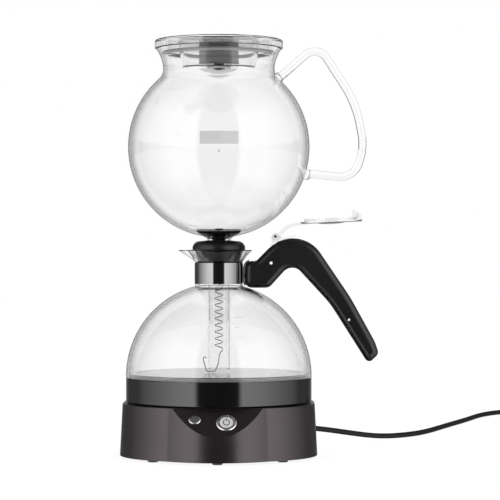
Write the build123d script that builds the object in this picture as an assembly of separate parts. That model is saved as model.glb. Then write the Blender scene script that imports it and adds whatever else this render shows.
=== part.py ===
"""Electric siphon (vacuum) coffee maker, as an assembly of separate pieces.

A cordless flask with a heater in its foot stands on a power base.  A glass funnel hangs in the
flask's neck on a rubber gasket, with a sprung filter hooked to its stem and a clear lid on top.
Millimetres, +Z up.  Every piece is drawn about the common vertical axis (x = 0, floor at z = 0)
and moved by AXIS_X when it is written.
"""

from build123d import *
from math import cos, radians, sin, sqrt, tan
import os

# ---------------------------------------------------------------- driving dimensions
WALL = 2.5                   # plastic walls of the base
TOUCH = 0.2                  # gap between pieces of different bodies that rest on each other
FIT = 0.1                    # gap between pieces of one body
PIN_CLEARANCE = 0.06         # radial running clearance of the hinge pin

# power base
FOOT_HEIGHT = 2.2
FOOT_RADIUS = 4.6
FOOT_COUNT = 8
FOOT_INSET = 8.3             # from the housing's valleys to the ring of feet
BASE_HEIGHT = 49.3           # floor to the roof of the base
LOBES = 6
LOBE_OFFSET = 20.5           # each lobe is an arc about a centre this far from the axis
LOBE_RADIUS = 72.0           # at the bottom edge
BASE_TAPER = 2.4             # smaller radius at the roof
VALLEY_FILLET = 7.0
PANEL_TILT = 29.0            # the control panel leans back by this from vertical
PANEL_SETBACK = 12.6         # from the roof's front edge to where the panel meets the roof
COVER_THICKNESS = 2.4
DECK_RADIUS = 71.0
DECK_THICKNESS = 1.0
SPIGOT_RADIUS = 13.6
SPIGOT_HEIGHT = 9.0          # above the roof
CONTACT_RINGS = (3.0, 8.0)
CONTACT_WIDTH = 1.2
SCREW_RADIUS = 1.2
SCREW_RING = 66.0
SCREW_ANGLES = (15, 165, 195, 345)

# controls, placed on the panel: x across, y down the slope from the roof
BUTTON_AT = (7.9, 14.2)
BUTTON_SEMI = (5.9, 5.1)     # half width and half height
BUTTON_RISE = 1.5
BEZEL_SEMI = (8.9, 7.7)
SIGN_RADIUS, SIGN_STROKE = 3.1, 0.75
LAMP_AT = (-19.9, 11.4)
LAMP_SEMI = (4.0, 2.7)
LAMP_BEZEL_SEMI = (5.3, 4.0)
BOARD_DEPTH = 9.0            # panel face to the front of the circuit board
BOARD_DOWN = 17.0            # roof to the middle of the board, down the slope
BOARD_SIZE = (56.0, 22.0, 1.6)

# flask with its heated foot
FLASK_RADIUS = 84.9
FLASK_WALL = 2.4
SKIRT_HEIGHT = 21.5
HEATER_RISE = 4.0            # the steel floor of the flask above the skirt
DOME_RISE = 1.1              # the dome's centre above the skirt
NECK_RADIUS = 21.4
NECK_BLEND = 2.5
NECK_HEIGHT = 19.3           # cylindrical part
FLARE_HEIGHT = 11.7
FLARE_REACH = 9.6            # the rim's radius beyond the neck's
SPOUT_REACH = 16.0           # the spout's lip beyond the neck
SPOUT_RADIUS = 13.0
SPOUT_FOOT = FLASK_WALL + 0.8             # radius where the spout runs into the neck
BAND_THICKNESS = 0.7

# grip of the flask
BRACKET_THICKNESS = 1.35
BRACKET_HALF = 8.5
GRIP_WIDTH = 21.0
GRIP_EDGE = 6.0
GRIP_HOLE_RADIUS = 1.4
CLAMP_DOWN = 23.2            # rim to the clamp screw
CLAMP_LENGTH = 18.3          # grip's front to the screw's head

# flip lid of the flask
HINGE_REACH, HINGE_RISE = 27.9, 12.4      # from the grip's front and from the rim
PIN_RADIUS = 1.2
BARREL_RADIUS = 3.3
BARREL_LENGTH = 8.4
EAR_THICKNESS = 2.0
LID_GAP = 0.4                # rim to the closed lid
LID_THICKNESS = 1.6
LID_OPEN_ANGLE = 177.5       # from closed to folded back over the grip
NIB_REACH, NIB_HALF = 4.6, 3.0            # stop behind the barrel

# funnel
BOWL_RADIUS = 83.0
BOWL_GAP = 11.2              # flask's rim to the bottom of the bowl
FUNNEL_WALL = 2.2
STEM_RADIUS = 10.0
STEM_WALL = 1.4
STEM_GAP = 3.0               # flask's floor to the end of the stem
THROAT_BLEND = 6.0
WAIST_RADIUS = 51.0
WAIST_RISE = 8.0             # from where the bowl is as wide as the waist
MOUTH_FLARE = 6.6
MOUTH_HEIGHT = 16.6
SHOULDER_BLEND = 12.0
LOOP_ROD_RADIUS = 3.7
GASKET_FLANGE = 2.7          # beyond the neck's outside
GASKET_RISE = 8.8            # above the flask's rim
GASKET_DEPTH = 20.2          # below it

# filter
FILTER_RADIUS = 24.3
FILTER_HEIGHT = 5.0          # bowl's floor to the top of the strainer
DISC_THICKNESS = 2.6
CORE_GAP = 2.4               # round the plug, in the stem
CORE_LENGTH = 17.0
SPRING_RADIUS = 3.5
WIRE_RADIUS = 0.4
SPRING_RISE = 19.0           # end of the stem to the spring
SPRING_LENGTH = 55.0
SPRING_TURNS = 9

# funnel lid
COVER_OVERHANG = 1.0
COVER_HEIGHT = 7.5           # above the funnel's mouth
COVER_PLATE = 2.7
CUP_TOP_RADIUS, CUP_LOW_RADIUS = 37.6, 33.0
CUP_DEPTH = 23.4
CORE_CAN_RADIUS = 18.4
CAP_RISE = 7.0               # of the steel dome under the cup

# mains cord
CORD_RADIUS = 2.6
EXIT_ANGLE = 45.0            # direction in which the cord leaves the base
EXIT_Z = 22.0
RELIEF_LENGTH = 25.0
RELIEF_DROP = 7.0            # degrees below level
RELIEF_BODY = 4.6
COIL_CENTRE = (380.0, 458.4)
COIL_INNER, COIL_OUTER = 23.2, 33.8   # middle of the innermost and the outermost turn
COIL_LIFT = 0.6              # the tie passes under the turns
COIL_TAIL = 22.0             # straight ends that leave the coil's outermost turns
TIE_WIDTH, TIE_THICKNESS = 9.0, 0.5
PLUG_BODY = (26.0, 30.0, 16.6)
PLUG_BOOT = 16.0
BLADE = (1.5, 17.5, 6.3)
BLADE_SPACING = 12.7

# ---------------------------------------------------------------- heights and places that follow
LOBE_RADIUS_TOP = LOBE_RADIUS - BASE_TAPER
BASE_HALF_WIDTH = LOBE_OFFSET * cos(radians(180 / LOBES)) + LOBE_RADIUS
FOOT_RING = BASE_HALF_WIDTH - FOOT_INSET
PANEL_TOP_Y = LOBE_OFFSET + LOBE_RADIUS_TOP - PANEL_SETBACK
SKIRT_LOW = BASE_HEIGHT + DECK_THICKNESS + TOUCH
SKIRT_TOP = SKIRT_LOW + SKIRT_HEIGHT
HEATER_PLATE_Z = SKIRT_TOP + HEATER_RISE
DOME_CENTRE_Z = SKIRT_TOP + DOME_RISE
# the neck is a plain cylinder between the fillet above the dome and the foot of the flare
NECK_FOOT_Z = DOME_CENTRE_Z + sqrt((FLASK_RADIUS + NECK_BLEND) ** 2 - (NECK_RADIUS + NECK_BLEND) ** 2)
FLARE_FOOT_Z = NECK_FOOT_Z + NECK_HEIGHT
RIM_Z = FLARE_FOOT_Z + FLARE_HEIGHT
RIM_RADIUS = NECK_RADIUS + FLARE_REACH
BAND_INNER = NECK_RADIUS + FIT / 2
BRACKET_X = BAND_INNER + BAND_THICKNESS + FIT
GRIP_FRONT = BRACKET_X + BRACKET_THICKNESS + FIT
HINGE_X, HINGE_Z = GRIP_FRONT + HINGE_REACH, RIM_Z + HINGE_RISE
BOWL_CENTRE_Z = RIM_Z + BOWL_GAP + BOWL_RADIUS
WAIST_Z = BOWL_CENTRE_Z + sqrt(BOWL_RADIUS ** 2 - WAIST_RADIUS ** 2) + WAIST_RISE
MOUTH_Z = WAIST_Z + MOUTH_HEIGHT
MOUTH_RADIUS = WAIST_RADIUS + MOUTH_FLARE
STEM_END_Z = HEATER_PLATE_Z + STEM_GAP
FILTER_TOP_Z = BOWL_CENTRE_Z - BOWL_RADIUS + FUNNEL_WALL + FILTER_HEIGHT
CORE_RADIUS = STEM_RADIUS - STEM_WALL - CORE_GAP
SPRING_LOW = STEM_END_Z + SPRING_RISE
SPRING_TOP = SPRING_LOW + SPRING_LENGTH
COVER_TOP = MOUTH_Z + COVER_HEIGHT
COVER_RADIUS = MOUTH_RADIUS + COVER_OVERHANG
ALL = 400.0                  # longer than anything that it trims

os.makedirs("parts", exist_ok=True)


# ---------------------------------------------------------------- helpers
def lobe_radius(z):
    """Radius of the lobe arcs of the base at height z, on the housing's slanted outside."""
    share = (z - FOOT_HEIGHT) / (BASE_HEIGHT - FOOT_HEIGHT)
    return LOBE_RADIUS - share * BASE_TAPER


def turned(*points):
    """A solid turned about the axis from a closed outline of (radius, z) points."""
    return revolve(Plane.XZ * make_face(Polyline(*points, close=True)), Axis.Z)


def ring(r_in, r_out, z0, z1):
    """A flat-ended ring, or a disc if r_in is 0."""
    body = Pos(0, 0, z0) * Cylinder(r_out, z1 - z0, align=(Align.CENTER, Align.CENTER, Align.MIN))
    if r_in > 0:
        body -= Pos(0, 0, z0) * Cylinder(r_in, z1 - z0, align=(Align.CENTER, Align.CENTER, Align.MIN))
    return body


def polar(radius, angle, z=0.0):
    """A location at a radius and an angle in degrees round the axis."""
    return Pos(radius * cos(radians(angle)), radius * sin(radians(angle)), z)


def write(name, *solids):
    """Writes one node, moved from the common axis to the part's own origin."""
    shape = solids[0] if len(solids) == 1 else Compound([s for piece in solids for s in piece.solids()])
    export_step(Pos(AXIS_X, 0, 0) * shape, f"parts/{name}.step")


def top_edges(solid):
    """The edges of a solid's highest flat face."""
    return solid.faces().filter_by(GeomType.PLANE).sort_by(Axis.Z)[-1].edges()


def rod(points, radii, wire_radius):
    """A round rod along straight runs joined by arcs."""
    path = FilletPolyline(*points, radius=radii)
    section = Plane(origin=path @ 0, z_dir=path % 0) * Circle(wire_radius)
    return sweep(section, path=path)


# ---------------------------------------------------------------- power base
def lobed_outline(inset, z):
    """The lobed outline of the base at height z, moved inwards by inset."""
    outline = Sketch()
    for i in range(LOBES):
        centre = polar(LOBE_OFFSET, -90 + i * 360 / LOBES)
        outline += centre * Circle(lobe_radius(z) - inset)
    outline = fillet(outline.vertices(), VALLEY_FILLET + inset)
    return Pos(0, 0, z) * outline


def lobed_body(inset, z0, z1):
    return loft([lobed_outline(inset, z0), lobed_outline(inset, z1)], ruled=True)


PANEL = Plane(
    origin=(0, -PANEL_TOP_Y, BASE_HEIGHT),
    x_dir=(1, 0, 0),
    z_dir=(0, -cos(radians(PANEL_TILT)), sin(radians(PANEL_TILT))),
)


def in_front_of_panel(depth):
    """Everything outside the panel's plane, which is moved inwards by depth."""
    return PANEL * Pos(0, 0, -depth) * Box(ALL, ALL, ALL, align=(Align.CENTER, Align.CENTER, Align.MIN))


def on_panel(at, z=0.0):
    """A location on the panel: at is (across, down the slope), z is outwards."""
    return PANEL * Pos(at[0], -at[1], z)


def oval(semi, at, z0, z1):
    """An elliptical prism standing on the panel, from z0 to z1 along its normal."""
    return on_panel(at, z0) * extrude(Ellipse(*semi), z1 - z0)


def grown(semi, by):
    return (semi[0] + by, semi[1] + by)


BUTTON_HOLE = grown(BUTTON_SEMI, 1.2)
COVER_TOP_Z = FOOT_HEIGHT + COVER_THICKNESS
ROOF_UNDER = BASE_HEIGHT - WALL
EXIT_FROM_LOBE = radians((EXIT_ANGLE + 90) % (360 / LOBES))
RELIEF_START = LOBE_OFFSET * cos(EXIT_FROM_LOBE) + lobe_radius(EXIT_Z)   # axis to the housing's outside there
RELIEF = Plane(
    origin=(RELIEF_START * cos(radians(EXIT_ANGLE)), RELIEF_START * sin(radians(EXIT_ANGLE)), EXIT_Z),
    z_dir=(
        cos(radians(EXIT_ANGLE)) * cos(radians(RELIEF_DROP)),
        sin(radians(EXIT_ANGLE)) * cos(radians(RELIEF_DROP)),
        -sin(radians(RELIEF_DROP)),
    ),
)
RELIEF_INSIDE = 1.8 * WALL   # from the housing's outside to the collar behind its wall


def base_housing():
    body = lobed_body(0, FOOT_HEIGHT, BASE_HEIGHT)
    body = fillet(body.faces().sort_by(Axis.Z)[-1].edges(), 1.0)
    body -= in_front_of_panel(0)
    hollow = lobed_body(WALL, FOOT_HEIGHT, ROOF_UNDER) - in_front_of_panel(WALL)
    body -= hollow
    for angle in SCREW_ANGLES:
        boss = polar(SCREW_RING, angle, COVER_TOP_Z) * extrude(Circle(4.0), ROOF_UNDER - COVER_TOP_Z)
        hole = polar(SCREW_RING, angle, COVER_TOP_Z) * extrude(Circle(SCREW_RADIUS), 12)
        body += boss
        body -= hole
    for x in (-24, 24):
        post = on_panel((x, BOARD_DOWN), -BOARD_DEPTH) * extrude(Circle(2.0), BOARD_DEPTH - WALL)
        body += post
    body -= oval(BUTTON_HOLE, BUTTON_AT, -2 * WALL, WALL)
    body -= oval(grown(LAMP_SEMI, FIT), LAMP_AT, -2 * WALL, WALL)
    body -= ring(0, SPIGOT_RADIUS + FIT, ROOF_UNDER - 1, BASE_HEIGHT + 1)
    body -= RELIEF * Pos(0, 0, -3 * WALL) * extrude(Circle(RELIEF_BODY + FIT), 6 * WALL)
    return body


def base_bottom_cover():
    plate = extrude(lobed_outline(WALL + 2 * FIT, FOOT_HEIGHT), COVER_THICKNESS)
    for angle in SCREW_ANGLES:
        plate -= polar(SCREW_RING, angle, FOOT_HEIGHT) * extrude(Circle(SCREW_RADIUS + 0.3), COVER_THICKNESS)
        plate -= polar(SCREW_RING, angle, FOOT_HEIGHT) * extrude(Circle(3.0), 1.4)
    for i in range(FOOT_COUNT):
        plate -= polar(FOOT_RING, foot_angle(i), FOOT_HEIGHT) * extrude(Circle(2.05), COVER_THICKNESS)
    for i in range(-4, 5):   # cooling slots
        plate -= Pos(9.0 * i, 0, FOOT_HEIGHT) * extrude(SlotOverall(46, 3.2, rotation=90), COVER_THICKNESS)
    return plate


def foot_angle(i):
    return -90 + i * 360 / FOOT_COUNT


def base_feet():
    foot = extrude(Circle(FOOT_RADIUS), FOOT_HEIGHT)
    foot = chamfer(foot.faces().sort_by(Axis.Z)[0].edges(), 0.5)
    foot += Pos(0, 0, FOOT_HEIGHT) * extrude(Circle(2.0), COVER_THICKNESS)
    return [polar(FOOT_RING, foot_angle(i)) * foot for i in range(FOOT_COUNT)]


def base_screws():
    screw = extrude(Circle(2.8), 1.2) + extrude(Circle(SCREW_RADIUS - 0.02), 11)
    screw -= extrude(Rectangle(3.6, 0.8) + Rectangle(0.8, 3.6), 0.7)
    return [polar(SCREW_RING, a, FOOT_HEIGHT + 0.2) * screw for a in SCREW_ANGLES]


def power_spigot():
    post = ring(0, SPIGOT_RADIUS, ROOF_UNDER - 2.4, BASE_HEIGHT + SPIGOT_HEIGHT)
    post = fillet(post.faces().sort_by(Axis.Z)[-1].edges(), 1.5)
    post += ring(0, SPIGOT_RADIUS + 5.4, ROOF_UNDER - 2.4, ROOF_UNDER)
    for r in CONTACT_RINGS:
        post -= ring(r, r + CONTACT_WIDTH, BASE_HEIGHT + SPIGOT_HEIGHT - 1.0, BASE_HEIGHT + SPIGOT_HEIGHT)
    return post


def contact_rings():
    top = BASE_HEIGHT + SPIGOT_HEIGHT
    return [ring(r, r + CONTACT_WIDTH, top - 1.0, top + 0.3) for r in CONTACT_RINGS]


def strain_relief():
    """Collar on the housing and a ribbed tail that tapers to the cord."""
    tail = Polyline(
        (0, -RELIEF_INSIDE - 2), (RELIEF_BODY + 2, -RELIEF_INSIDE - 2), (RELIEF_BODY + 2, -RELIEF_INSIDE),
        (RELIEF_BODY, -RELIEF_INSIDE), (RELIEF_BODY, 1.5), (CORD_RADIUS + 0.9, RELIEF_LENGTH),
        (0, RELIEF_LENGTH), close=True,
    )
    body = revolve(Plane.XZ * make_face(tail), Axis.Z)
    for i in range(5):
        z = 6.0 + 3.6 * i
        body -= ring(CORD_RADIUS + 1.0, ALL, z, z + 1.2)
    return RELIEF * body


def control_board():
    width, height, thickness = BOARD_SIZE
    return on_panel((0, BOARD_DOWN), -BOARD_DEPTH - thickness) * extrude(Rectangle(width, height), thickness)


def tact_switch():
    body = on_panel(BUTTON_AT, -BOARD_DEPTH) * extrude(Rectangle(6, 6), 1.5)
    return body + on_panel(BUTTON_AT, -BOARD_DEPTH + 1.5) * extrude(Circle(1.6), 0.5)


def button_bezel():
    face = oval(BEZEL_SEMI, BUTTON_AT, 0, 1.1)
    face = chamfer(face.faces().sort_by(Axis((0, 0, 0), PANEL.z_dir))[-1].edges(), 0.7)
    sleeve = oval(grown(BUTTON_HOLE, -FIT), BUTTON_AT, -WALL - 0.8, 0)
    return face + sleeve - oval(grown(BUTTON_SEMI, TOUCH), BUTTON_AT, -2 * WALL, WALL)


def power_button():
    cap = oval(BUTTON_SEMI, BUTTON_AT, -WALL - 2.0, BUTTON_RISE)
    cap = fillet(cap.faces().sort_by(Axis((0, 0, 0), PANEL.z_dir))[-1].edges(), 0.5)
    cap += oval(BUTTON_HOLE, BUTTON_AT, -WALL - 2.2, -WALL - 1.2)
    return cap - button_icon()


def button_icon():
    """The on-off sign: an open circle with a bar, let into the button's face."""
    arc = Circle(SIGN_RADIUS) - Circle(SIGN_RADIUS - SIGN_STROKE)
    arc -= Pos(0, SIGN_RADIUS) * Rectangle(3 * SIGN_STROKE, 1.2 * SIGN_RADIUS)
    bar = Pos(0, 0.8 * SIGN_RADIUS) * Rectangle(SIGN_STROKE, SIGN_RADIUS)
    return on_panel(BUTTON_AT, BUTTON_RISE - 0.3) * extrude(arc + bar, 0.3)


def indicator_bezel():
    face = oval(LAMP_BEZEL_SEMI, LAMP_AT, 0, 0.9)
    face = chamfer(face.faces().sort_by(Axis((0, 0, 0), PANEL.z_dir))[-1].edges(), 0.6)
    return face - oval(grown(LAMP_SEMI, FIT), LAMP_AT, -1, 2)


def indicator_lens():
    lens = oval(LAMP_SEMI, LAMP_AT, -WALL, 0.8)
    return fillet(lens.faces().sort_by(Axis((0, 0, 0), PANEL.z_dir))[-1].edges(), 0.6)


# ---------------------------------------------------------------- heated foot of the flask
SKIRT_RADIUS = FLASK_RADIUS - FIT
SKIRT_INNER = SKIRT_RADIUS - 2.6
SEAL_WIDTH = 1.0
PLATE_RADIUS = FLASK_RADIUS - FLASK_WALL - SEAL_WIDTH
PLATE_DEPTH = 5.5            # of the turned-down rim
PLATE_SHEET = 1.2
SOCKET_CLEARANCE = 0.6
SOCKET_RADIUS = SPIGOT_RADIUS + SOCKET_CLEARANCE + 2.8


def heater_skirt():
    wall = ring(SKIRT_INNER, SKIRT_RADIUS, SKIRT_LOW, SKIRT_TOP)
    wall = fillet(wall.edges().filter_by(GeomType.CIRCLE).sort_by(SortBy.LENGTH)[-2:], 0.5)
    ledge = HEATER_PLATE_Z - PLATE_DEPTH - FIT
    return wall + ring(SKIRT_INNER - 6, SKIRT_INNER, ledge - 1.4, ledge)


def skirt_cover():
    plate = ring(SOCKET_RADIUS + FIT, SKIRT_INNER - FIT, SKIRT_LOW + 0.2, SKIRT_LOW + 2.4)
    for i in range(3):
        plate += polar(30, 60 + 120 * i, SKIRT_LOW + 2.4) * extrude(Circle(3.2) - Circle(1.3), 6)
    return plate


def kettle_socket():
    body = ring(0, SOCKET_RADIUS, SKIRT_LOW + 0.2, BASE_HEIGHT + SPIGOT_HEIGHT + 4.7)
    body += ring(0, SOCKET_RADIUS + 4, SKIRT_LOW + 2.4 + FIT, SKIRT_LOW + 4)
    return body - ring(0, SPIGOT_RADIUS + SOCKET_CLEARANCE, SKIRT_LOW, BASE_HEIGHT + SPIGOT_HEIGHT + 1.2)


def heater_plate():
    plate = ring(0, PLATE_RADIUS, HEATER_PLATE_Z - PLATE_DEPTH, HEATER_PLATE_Z)
    plate = fillet(top_edges(plate), 1.2)
    return plate - ring(0, PLATE_RADIUS - 1.3, HEATER_PLATE_Z - PLATE_DEPTH, HEATER_PLATE_Z - PLATE_SHEET)


def flask_seal():
    return ring(PLATE_RADIUS + FIT, PLATE_RADIUS + SEAL_WIDTH - FIT, SKIRT_TOP + TOUCH, HEATER_PLATE_Z - 1.6)


def heating_element():
    """A tubular element bent to an open ring under the plate, with its two cold ends turned down."""
    tube, r = 4.0, 50.0
    z = HEATER_PLATE_Z - PLATE_SHEET - tube - FIT
    loop = Pos(0, 0, z) * Torus(r, tube) - Pos(0, -r, z) * Box(34, 40, 4 * tube)
    ends = [
        Pos(s * 17, -sqrt(r * r - 17 * 17), z - 4.2) * Cylinder(1.6, 9) for s in (-1, 1)
    ]
    return loop + ends[0] + ends[1]


def thermostat():
    top = HEATER_PLATE_Z - PLATE_SHEET - FIT
    return ring(0, 12, top - 3.0, top) + ring(0, 8, top - 7.5, top - 3.0)


# ---------------------------------------------------------------- flask glass, band and bracket
def flask_shape(inset):
    """The flask's outside as one solid, or its inside if inset is the wall."""
    r, neck = FLASK_RADIUS - inset, NECK_RADIUS - inset
    low = SKIRT_TOP + TOUCH - (1 if inset else 0)
    outline = Pos(0, DOME_CENTRE_Z) * Circle(r)
    outline += Pos(0, (DOME_CENTRE_Z + low) / 2) * Rectangle(2 * r, DOME_CENTRE_Z - low)
    outline -= Pos(0, low - ALL / 2) * Rectangle(ALL, ALL)
    outline += Pos(0, (DOME_CENTRE_Z + FLARE_FOOT_Z) / 2) * Rectangle(2 * neck, FLARE_FOOT_Z - DOME_CENTRE_Z)
    corners = outline.vertices().filter_by(lambda v: abs(abs(v.X) - neck) < 0.01 and v.Y < FLARE_FOOT_Z - 1)
    outline = fillet(corners, NECK_BLEND + inset)
    half = outline - Pos(-ALL / 2, 0) * Rectangle(ALL, 2 * ALL)
    vessel = revolve(Plane.XZ * half, Axis.Z)
    lip = RIM_RADIUS - inset
    mid = (NECK_RADIUS + 3.9 - inset, (FLARE_FOOT_Z + RIM_Z) / 2)
    edge = Line((0, FLARE_FOOT_Z), (neck, FLARE_FOOT_Z)) + ThreePointArc((neck, FLARE_FOOT_Z), mid, (lip, RIM_Z))
    edge += Polyline((lip, RIM_Z), (0, RIM_Z), (0, FLARE_FOOT_Z))
    vessel += revolve(Plane.XZ * make_face(edge), Axis.Z)
    if inset:
        vessel += ring(0, lip, RIM_Z, RIM_Z + 1)
    spout_top = Pos(SPOUT_RADIUS - NECK_RADIUS - SPOUT_REACH, 0, RIM_Z) * Circle(SPOUT_RADIUS - inset)
    spout_low = Pos(SPOUT_FOOT - NECK_RADIUS, 0, FLARE_FOOT_Z + 1) * Circle(SPOUT_FOOT - inset)
    vessel += loft([spout_low, spout_top])
    if inset:
        vessel += extrude(spout_top, 1)
    return vessel


def flask_glass():
    return flask_shape(0) - flask_shape(FLASK_WALL)


def neck_band():
    return ring(BAND_INNER, BAND_INNER + BAND_THICKNESS, NECK_FOOT_Z + FIT, FLARE_FOOT_Z - FIT)


def handle_bracket():
    """A pressed steel plate between band and grip, curled round the corners of the grip's nose."""
    nose = GRIP_OUTLINE[0][2]
    inside, outside = nose + FIT, GRIP_FRONT - BRACKET_X + nose
    x = GRIP_FRONT + nose
    low_z, top_z = GRIP_OUTLINE[-1][1] + nose, GRIP_OUTLINE[0][1] - nose
    plate = Pos(x - (inside + outside) / 2, (low_z + top_z) / 2) * Rectangle(outside - inside, top_z - low_z)
    for z, start, end in ((top_z, 180, 110), (low_z, 180, 215)):
        curl = Pos(x, z) * (Circle(outside) - Circle(inside))
        corner = make_face(Polyline((x, z), *[(x + ALL * cos(radians(a)), z + ALL * sin(radians(a)))
                                             for a in (start, end)], close=True))
        plate += curl & corner
    bracket = across(plate, -BRACKET_HALF, BRACKET_HALF)
    return bracket - Pos(GRIP_FRONT, 0, RIM_Z - CLAMP_DOWN) * Rot(0, 90, 0) * Cylinder(1.6, 8)


# ---------------------------------------------------------------- grip
# grip's outline: across from its front, up from the rim, radius of the corner
GRIP_CORNERS = (
    (0.0, -10.0, 6.5),
    (10.5, -10.0, 4.0),
    (48.2, 28.1, 30.5),       # top of the arch
    (96.7, -43.5, 150.0),
    (118.9, -83.8, 30.0),
    (122.5, -94.6, 5.5),      # tip
    (112.9, -103.8, 4.0),
    (78.1, -49.0, 90.0),
    (43.3, -11.2, 10.5),      # underside of the arch
    (22.1, -34.5, 8.0),
    (0.0, -34.5, 6.5),
)
GRIP_OUTLINE = [(GRIP_FRONT + across_by, RIM_Z + up_by, r) for across_by, up_by, r in GRIP_CORNERS]
GRIP_HOLES = ((24.1, -11.9), (95.3, -63.8))


def flask_handle():
    points = [(x, z) for x, z, _ in GRIP_OUTLINE]
    face = make_face(FilletPolyline(*points, radius=[r for _, _, r in GRIP_OUTLINE], close=True))
    grip = extrude(Plane.XZ * face, GRIP_WIDTH / 2, both=True)
    grip = fillet(grip.faces().filter_by(Axis.Y).edges(), GRIP_EDGE)
    for x, z in GRIP_HOLES:
        grip -= Pos(GRIP_FRONT + x, 0, RIM_Z + z) * Rot(90, 0, 0) * Cylinder(GRIP_HOLE_RADIUS, 2 * GRIP_WIDTH)
    bore = extrude(Circle(1.7), CLAMP_LENGTH) + Pos(0, 0, CLAMP_LENGTH) * extrude(Circle(3.3), 40)
    return grip - CLAMP * bore


CLAMP = Pos(GRIP_FRONT, 0, RIM_Z - CLAMP_DOWN) * Rot(0, 90, 0)     # z runs into the grip


def clamp_screw():
    """Screw that pulls the grip's nose onto the bracket."""
    start = BRACKET_X + FIT - GRIP_FRONT
    shank = CLAMP * Pos(0, 0, start) * extrude(Circle(1.5), CLAMP_LENGTH - start)
    head = CLAMP * Pos(0, 0, CLAMP_LENGTH) * extrude(Circle(3.1), 2.4)
    slot = CLAMP * Pos(0, 0, CLAMP_LENGTH + 1.4) * extrude(Rectangle(6.4, 0.9), 1.0)
    return shank + head - slot


# ---------------------------------------------------------------- flip lid of the flask
HINGE = Axis((HINGE_X, 0, HINGE_Z), (0, 1, 0))
EAR_INNER = BARREL_LENGTH / 2 + TOUCH
EAR_OUTER = EAR_INNER + EAR_THICKNESS


def across(shape_xz, y0, y1):
    """A flat shape in the XZ plane, made solid from y0 to y1."""
    return Pos(0, y1, 0) * extrude(Plane.XZ * shape_xz, y1 - y0)


def hinge_pin():
    return Pos(HINGE_X, 0, HINGE_Z) * Rot(90, 0, 0) * Cylinder(PIN_RADIUS, 2 * EAR_OUTER + 1.0)


def at_hinge(*points):
    """Outline points given from the hinge pin's middle."""
    return make_face(Polyline(*[(HINGE_X + x, HINGE_Z + z) for x, z in points], close=True))


def hinge_clip():
    """A clear saddle on top of the grip with two ears for the pin and a springy tongue."""
    saddle = at_hinge((-5.1, -8.0), (-0.6, -4.2), (5.4, -1.6), (11.4, 0), (18.4, 1.0), (18.4, -0.2),
                      (11.4, -1.2), (11.4, -10.6), (-5.1, -14.6))
    ear = at_hinge((-3.6, -10.6), (-3.0, 1.0), (0, 3.0), (3.0, 1.6), (8.9, -2.6), (8.9, -10.6))
    clip = across(saddle, -EAR_OUTER, EAR_OUTER)
    clip -= Pos(HINGE_X, 0, HINGE_Z) * Rot(90, 0, 0) * Cylinder(BARREL_RADIUS + 0.5, 2 * EAR_INNER)
    clip -= Pos(HINGE_X, 0, HINGE_Z) * Rot(90, 0, 0) * Cylinder(NIB_REACH + 0.6, 2 * (NIB_HALF + TOUCH))
    for side in (-1, 1):
        inner, outer = sorted((side * EAR_INNER, side * EAR_OUTER))
        clip += across(ear, inner, outer)
    clip -= Pos(HINGE_X, 0, HINGE_Z) * Rot(90, 0, 0) * Cylinder(PIN_RADIUS, ALL)
    return clip - flask_handle()


LID_LOW = RIM_Z + LID_GAP
LID_TOP = LID_LOW + LID_THICKNESS
LID_RADIUS = RIM_RADIUS - 2.7
COMB_X = -(NECK_RADIUS + 3.2)


def flask_lid_closed():
    """The lid as it lies on the flask's mouth: plate, locating ring, spout comb, arm and barrel."""
    plate = ring(0, LID_RADIUS, LID_LOW, LID_TOP)
    plate = fillet(top_edges(plate), 0.7)
    plate += ring(NECK_RADIUS + 1.6, NECK_RADIUS + 3.0, LID_LOW - 2.6, LID_LOW)
    crown = Pos(0, 0, LID_TOP - 60.5) * Sphere(62.0)
    plate += crown & ring(0, LID_RADIUS - 6, LID_LOW, LID_LOW + 10)
    comb = Pos(COMB_X, 0, LID_LOW - 4.6) * Box(1.3, 15.0, 9.2)
    for i in range(3):
        comb -= Pos(COMB_X, 0, LID_LOW - 2.4 - 2.3 * i) * Box(3, 11.0, 1.1)
    fin_edge = Line((COMB_X + 5.0, LID_LOW), (COMB_X - 4.6, LID_LOW))
    fin_edge += ThreePointArc(
        (COMB_X - 4.6, LID_LOW), (COMB_X - 1.8, LID_LOW - 6.2), (COMB_X + 3.0, LID_LOW - 9.4)
    )
    fin_edge += Polyline((COMB_X + 3.0, LID_LOW - 9.4), (COMB_X + 5.0, LID_LOW - 9.4), (COMB_X + 5.0, LID_LOW))
    fin = across(make_face(fin_edge), -0.8, 0.8)
    in_spout = flask_shape(FLASK_WALL + 2 * TOUCH)
    arm_outline = Polyline(
        (LID_RADIUS - 3.3, LID_LOW), (RIM_RADIUS + 2.0, LID_LOW + 0.1), (HINGE_X - 10.6, LID_LOW + 2.2),
        (HINGE_X - 1.0, HINGE_Z - 2.4), (HINGE_X + 1.5, HINGE_Z + 2.4), (HINGE_X - 3.0, HINGE_Z + 2.2),
        (HINGE_X - 12.1, LID_TOP + 3.6), (RIM_RADIUS + 1.0, LID_TOP + 1.4), (LID_RADIUS - 6.3, LID_TOP + 0.6),
        (LID_RADIUS - 6.3, LID_LOW), close=True,
    )
    half = BARREL_LENGTH / 2
    arm = across(make_face(arm_outline), -half, half)
    barrel = Pos(HINGE_X, 0, HINGE_Z) * Rot(90, 0, 0) * Cylinder(BARREL_RADIUS, BARREL_LENGTH)
    nib = across(at_hinge((0, 0), (NIB_REACH, 0.4), (NIB_REACH, 1.8), (0, 3.0)), -NIB_HALF, NIB_HALF)
    lid = plate + (comb & in_spout) + (fin & in_spout) + arm + barrel + nib
    return lid - Pos(HINGE_X, 0, HINGE_Z) * Rot(90, 0, 0) * Cylinder(PIN_RADIUS + PIN_CLEARANCE, ALL)


def flask_lid():
    return flask_lid_closed().rotate(HINGE, LID_OPEN_ANGLE)


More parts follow.
